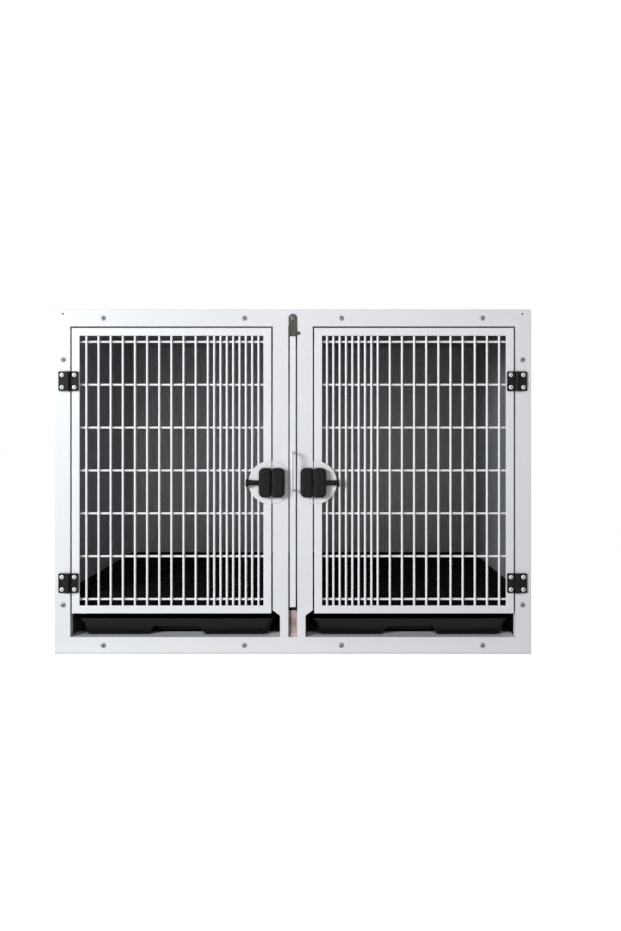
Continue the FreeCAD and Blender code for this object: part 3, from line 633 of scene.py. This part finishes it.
LEAF_EDGE = 0.0005
HINGE_DARK = (0.0030, 0.0028, 0.0028, 1)
HINGE_LIGHT = (0.0095, 0.0092, 0.0095, 1)
NICKEL_DARK = (0.72, 0.72, 0.72, 1)
NICKEL_LIGHT = (0.86, 0.86, 0.86, 1)

hinge_black = surface("hinge_black", HINGE_DARK, HINGE_LIGHT, rough=(0.34, 0.52), grain=(90.0, EVEN),
                      relief=(1100.0, EVEN), depth=0.00006, specular=0.12)
nickel = surface("bright_nickel", NICKEL_DARK, NICKEL_LIGHT, rough=(0.38, 0.52), grain=(260.0, EVEN),
                 relief=(1800.0, EVEN), depth=0.00004, metallic=0.35)
for side in ("left", "right"):
    for level in ("upper", "lower"):
        for half in ("frame", "door"):
            softened(f"{side}_{level}_hinge_{half}_leaf", LEAF_EDGE, hinge_black)
    softened(side + "_hinge_pins", LEAF_EDGE, hinge_black)
    screw_set(side + "_hinge_door_screws", -1, nickel)
screw_set("hinge_frame_screws", -1, nickel)


# Latches: a moulded black casing on each door and a matching keeper on the post.
# Both stand on a white steel disc that is cut at the door gap; screws hold them from behind.
# A spring pushes the square bolt into the keeper, and a flared tail pulls it back.

PLATE_EDGE = 0.0005
CASE_ROUND = 0.0066
CASE_CORNER_FAR = 0.0125
CASE_CORNER_NEAR = 0.0062
LEAST_CORNER = 0.0003
CORNER_STEPS = 8
ROUND_STEPS = 6
BOLT_EDGE = 0.0005
LATCH_DARK = (0.0040, 0.0037, 0.0037, 1)
LATCH_LIGHT = (0.0074, 0.0069, 0.0069, 1)
SEAM_HALF = 0.0014
SEAM_DEEP = 0.0005
SPRING_WIRE = 0.0012
SPRING_SIDES = 8
SPRING_TURNS = 5
TURN_STEPS = 18

latch_black = surface("latch_black", LATCH_DARK, LATCH_LIGHT, rough=(0.46, 0.60), grain=(70.0, EVEN),
                      relief=(1300.0, EVEN), depth=0.00007, specular=0.14)


def corner_points(low, high, inset, radii):
    """A rounded rectangle in X and Z, with a radius for each corner from low-low, anticlockwise."""
    x0, x1, z0, z1 = low.x + inset, high.x - inset, low.z + inset, high.z - inset
    points = []
    for k, (x, z) in enumerate(((x0, z0), (x1, z0), (x1, z1), (x0, z1))):
        radius = max(radii[k] - inset, LEAST_CORNER)
        cx = x + radius if k in (0, 3) else x - radius
        cz = z + radius if k in (0, 1) else z - radius
        for step in range(CORNER_STEPS + 1):
            a = math.pi + math.pi / 2 * (k + step / CORNER_STEPS)
            points.append((cx + radius * math.cos(a), cz + radius * math.sin(a)))
    return points


def loose(shape, name):
    """A mesh as an object of its own, to be worked with and thrown away."""
    mesh = bpy.data.meshes.new(name)
    shape.to_mesh(mesh)
    shape.free()
    item = bpy.data.objects.new(name, mesh)
    bpy.context.scene.collection.objects.link(item)
    return item


def cut_to(shape, node, groove):
    """The part of a closed mesh that lies in the CAD node too, so that its hollows show, less a groove."""
    hollow = bmesh.new()
    hollow.from_mesh(frame["nodes"][node].data)
    bmesh.ops.remove_doubles(hollow, verts=hollow.verts, dist=WELD)
    blank = loose(shape, "blank")
    tools = [loose(hollow, "hollow"), loose(groove, "groove")]
    for tool, operation in zip(tools, ("INTERSECT", "DIFFERENCE")):
        step = blank.modifiers.new(operation.lower(), "BOOLEAN")
        step.operation, step.solver, step.object = operation, "EXACT", tool
    bpy.context.view_layer.update()
    found = bpy.data.meshes.new_from_object(blank.evaluated_get(bpy.context.evaluated_depsgraph_get()))
    result = bmesh.new()
    result.from_mesh(found)
    for item in (blank, *tools):
        mesh = item.data
        bpy.data.objects.remove(item)
        bpy.data.meshes.remove(mesh)
    bpy.data.meshes.remove(found)
    return result


def seam(low, high):
    """A shallow V across the casing's front, half-way up."""
    middle = (low.z + high.z) / 2
    shape = bmesh.new()
    ends = []
    for x in (low.x - SEAM_HALF, high.x + SEAM_HALF):
        ends.append([shape.verts.new((x, y, z)) for y, z in
                     ((low.y - SEAM_DEEP, middle - 2 * SEAM_HALF), (low.y + SEAM_DEEP, middle),
                      (low.y - SEAM_DEEP, middle + 2 * SEAM_HALF))])
    skin(shape, *ends)
    for end in ends:
        shape.faces.new(end)
    bmesh.ops.recalc_face_normals(shape, faces=shape.faces)
    return shape


def moulded_case(node, far_is_low):
    """A soft-edged casing: the outline shrinks towards the front along a quarter round."""
    low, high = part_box(node)
    far, near = CASE_CORNER_FAR, CASE_CORNER_NEAR
    radii = (far, near, near, far) if far_is_low else (near, far, far, near)
    shape = bmesh.new()
    levels = [(high.y, 0.0)]
    for step in range(ROUND_STEPS + 1):
        a = math.pi / 2 * step / ROUND_STEPS
        levels.append((low.y + CASE_ROUND * (1 - math.sin(a)), CASE_ROUND * (1 - math.cos(a))))
    loops = [[shape.verts.new((x, y, z)) for x, z in corner_points(low, high, inset, radii)]
             for y, inset in levels]
    for lower, upper in zip(loops, loops[1:]):
        skin(shape, lower, upper)
    shape.faces.new(loops[0])
    shape.faces.new(loops[-1])
    bmesh.ops.recalc_face_normals(shape, faces=shape.faces)
    standing_for(node, cut_to(shape, node, seam(low, high)), latch_black)


def coil(node):
    """The return spring, wound between collar and end wall; it closes up as the bolt is drawn."""
    low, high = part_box(node)
    middle, radius = (low + high) / 2, (high.z - low.z) / 2 - SPRING_WIRE / 2
    count = SPRING_TURNS * TURN_STEPS
    reach = high.x - low.x - SPRING_WIRE
    path = []
    for k in range(count + 1):
        a = 2 * math.pi * k / TURN_STEPS
        path.append(Vector((low.x + SPRING_WIRE / 2 + reach * k / count, middle.y + radius * math.cos(a),
                            middle.z + radius * math.sin(a))))
    shape = bmesh.new()
    tube(shape, path, SPRING_WIRE / 2, SPRING_SIDES)
    spring = standing_for(node, shape, zinc)
    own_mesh(spring)


for side in ("left", "right"):
    softened(side + "_latch_plate", PLATE_EDGE, white_coat)
    softened(side + "_keeper_plate", PLATE_EDGE, white_coat)
    moulded_case(side + "_latch_case", side == "left")
    moulded_case(side + "_keeper", side == "right")
    softened(side + "_latch_bolt", BOLT_EDGE, latch_black)
    coil(side + "_latch_spring")
    screw_set(side + "_latch_screws", 1, zinc)
screw_set("keeper_screws", 1, zinc)


# Pull-out trays: vacuum-formed black plastic with a turned rim, drafted walls and a finger recess in front.
# They slide on the front frame's shelf and on runners behind it.

TRAY_EDGE = 0.0009
RIM_ROUND = 0.0024
RIM_STEPS = 5
STEEP = 0.5
RECESS_HALF = 0.095
RECESS_TALL = 0.024
RECESS_REACH = 0.030
RECESS_ROUND = 0.0045
RECESS_STEPS = 4
MOUTH_IN = 0.050
MOUTH_OUT = 0.075
MOUTH_FLARE = 0.007
TRAY_DARK = (0.0014, 0.0014, 0.0014, 1)
TRAY_LIGHT = (0.0030, 0.0030, 0.0030, 1)

tray_black = surface("tray_black", TRAY_DARK, TRAY_LIGHT, rough=(0.26, 0.36), grain=(14.0, EVEN),
                     relief=(1000.0, EVEN), depth=0.0001, specular=0.165)


def formed_tray(node):
    """The tray as it was drawn from sheet: a full round on the rim, and a soft recess with a wide mouth."""
    shape = cad_copy(node)
    low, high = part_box(node)
    middle = (low + high) / 2

    def low_in_front(v):
        return v.co.y < low.y + RECESS_REACH and v.co.z < low.z + RECESS_TALL

    def looks_out(face):
        return abs(face.normal.z) < STEEP and (face.calc_center_median() - middle).dot(face.normal) > 0

    def at_recess(v):
        return abs(v.co.x - middle.x) < RECESS_HALF and low_in_front(v)

    for v in shape.verts:
        aside = v.co.x - middle.x
        if MOUTH_IN < abs(aside) < MOUTH_OUT and low_in_front(v):
            v.co.x += math.copysign(MOUTH_FLARE, aside)
    rim = [e for e in shape.edges
           if all(high.z - v.co.z < EDGE_NEAR for v in e.verts) and any(looks_out(f) for f in e.link_faces)]
    rounded(shape, rim, RIM_ROUND, RIM_STEPS)
    recess_edge = [e for e in shape.edges
                   if all(at_recess(v) for v in e.verts) and e.calc_face_angle(0) > CORNER and e.is_convex]
    rounded(shape, recess_edge, RECESS_ROUND, RECESS_STEPS)
    standing_for(node, broken(shape, TRAY_EDGE), tray_black)


for side in ("left", "right"):
    formed_tray(side + "_tray")


# Raised floor panels: moulded black slats in a rim, two to a compartment, resting on sill and ledges.
# They lift out, and what falls through the slots lands in the tray.

PANEL_EDGE = 0.0008
PANEL_DARK = (0.0026, 0.0026, 0.0027, 1)
PANEL_LIGHT = (0.0048, 0.0048, 0.0049, 1)

panel_black = surface("panel_black", PANEL_DARK, PANEL_LIGHT, rough=(0.62, 0.78), grain=(16.0, EVEN),
                      relief=(900.0, EVEN), depth=0.0001, specular=0.05)
for side in ("left", "right"):
    for place in ("front", "rear"):
        softened(f"{side}_{place}_floor_panel", PANEL_EDGE, panel_black)


# Studio: a pale floor that runs far back into white, one soft key from the upper left and a weak fill.
# Floor and surroundings look white where they are seen or mirrored, and the floor takes the shadow.

WHITE = (1, 1, 1, 1)
FLOOR_REACH = 30.0
FLOOR_ALBEDO = (0.60, 0.60, 0.60, 1)
FLOOR_ROUGH = 0.9
FLOOR_GLOW = 0.965
AMBIENT = 0.05
KEY_PLACE = Vector((-3.3, -3.85, 1.56))
KEY_SIZE = 1.85
KEY_POWER = 212.0
KEY_COLOUR = (0.925, 0.957, 1.0)
FILL_PLACE = Vector((0.45, -3.1, 1.4))
FILL_SIZE = 2.0
FILL_POWER = 12.5
FILL_COLOUR = (1.0, 0.965, 0.935)
LAMP_AIM = Vector((0.0, -0.35, 0.44))


def seen_rays(tree):
    """1 where the surroundings are seen straight, in a reflection or through something clear, else 0."""
    path = tree.nodes.new("ShaderNodeLightPath")
    either, any_of = tree.nodes.new("ShaderNodeMath"), tree.nodes.new("ShaderNodeMath")
    either.operation = any_of.operation = "MAXIMUM"
    tree.links.new(path.outputs["Is Camera Ray"], either.inputs[0])
    tree.links.new(path.outputs["Is Glossy Ray"], either.inputs[1])
    tree.links.new(either.outputs[0], any_of.inputs[0])
    tree.links.new(path.outputs["Is Transmission Ray"], any_of.inputs[1])
    return any_of.outputs[0]


floor_mesh = bpy.data.meshes.new("studio_floor")
corners = [(-FLOOR_REACH, -FLOOR_REACH, 0), (FLOOR_REACH, -FLOOR_REACH, 0), (FLOOR_REACH, FLOOR_REACH, 0),
           (-FLOOR_REACH, FLOOR_REACH, 0)]
floor_mesh.from_pydata(corners, [], [(0, 1, 2, 3)])
floor = bpy.data.objects.new("studio_floor", floor_mesh)
bpy.context.scene.collection.objects.link(floor)
floor_paint = bpy.data.materials.new("floor_paint")
floor_paint.use_nodes = True
floor_tree, floor_shader = floor_paint.node_tree, shader_of(floor_paint)
floor_shader.inputs["Base Color"].default_value = FLOOR_ALBEDO
floor_shader.inputs["Roughness"].default_value = FLOOR_ROUGH
floor_shader.inputs["Specular IOR Level"].default_value = 0.0
floor_shader.inputs["Emission Color"].default_value = WHITE
glow = floor_tree.nodes.new("ShaderNodeMath")
glow.operation = "MULTIPLY"
glow.inputs[1].default_value = FLOOR_GLOW
floor_tree.links.new(seen_rays(floor_tree), glow.inputs[0])
floor_tree.links.new(glow.outputs[0], floor_shader.inputs["Emission Strength"])
floor_mesh.materials.append(floor_paint)

world = bpy.data.worlds.new("studio")
world.use_nodes = True
bpy.context.scene.world = world
nodes, links = world.node_tree.nodes, world.node_tree.links
nodes.clear()
soft, white = nodes.new("ShaderNodeBackground"), nodes.new("ShaderNodeBackground")
soft.inputs["Strength"].default_value = AMBIENT
white.inputs["Strength"].default_value = 1.0
for item in (soft, white):
    item.inputs["Color"].default_value = WHITE
both = nodes.new("ShaderNodeMixShader")
out = nodes.new("ShaderNodeOutputWorld")
links.new(seen_rays(world.node_tree), both.inputs["Fac"])
links.new(soft.outputs[0], both.inputs[1])
links.new(white.outputs[0], both.inputs[2])
links.new(both.outputs[0], out.inputs["Surface"])


def lamp(name, place, size, power, colour):
    """A round soft lamp that looks at the middle of the front."""
    light = bpy.data.lights.new(name, "AREA")
    light.shape = "DISK"
    light.size = size
    light.energy = power
    light.color = colour
    lit = bpy.data.objects.new(name, light)
    lit.location = place
    lit.rotation_euler = (LAMP_AIM - place).to_track_quat("-Z", "Y").to_euler()
    bpy.context.scene.collection.objects.link(lit)


lamp("key", KEY_PLACE, KEY_SIZE, KEY_POWER, KEY_COLOUR)
lamp("fill", FILL_PLACE, FILL_SIZE, FILL_POWER, FILL_COLOUR)


# Camera: level, square to the front, a little right of the middle, with the frame shifted to the picture.
# The point that it looks straight at and the scale of the front face are read from the photograph.

PICTURE = (621, 931)
LOOK_PIXEL = (329.0, 435.6)
FRONT_MIDDLE_PIXEL = 292.75
FRONT_FOOT_PIXEL = 654.1
METRES_PER_PIXEL = 0.002558
CAMERA_AWAY = 1.895
SENSOR = 36.0

front_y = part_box("front_frame")[0].y
view = bpy.data.cameras.new("camera")
view.sensor_width = SENSOR
view.lens = SENSOR * CAMERA_AWAY / METRES_PER_PIXEL / PICTURE[1]
view.shift_x = (PICTURE[0] / 2 - LOOK_PIXEL[0]) / PICTURE[1]
view.shift_y = (LOOK_PIXEL[1] - PICTURE[1] / 2) / PICTURE[1]
camera = bpy.data.objects.new("camera", view)
camera.location = ((LOOK_PIXEL[0] - FRONT_MIDDLE_PIXEL) * METRES_PER_PIXEL, front_y - CAMERA_AWAY,
                   (FRONT_FOOT_PIXEL - LOOK_PIXEL[1]) * METRES_PER_PIXEL)
camera.rotation_euler = (math.pi / 2, 0, 0)
bpy.context.scene.collection.objects.link(camera)
bpy.context.scene.camera = camera
bpy.context.scene.view_settings.view_transform = "Standard"
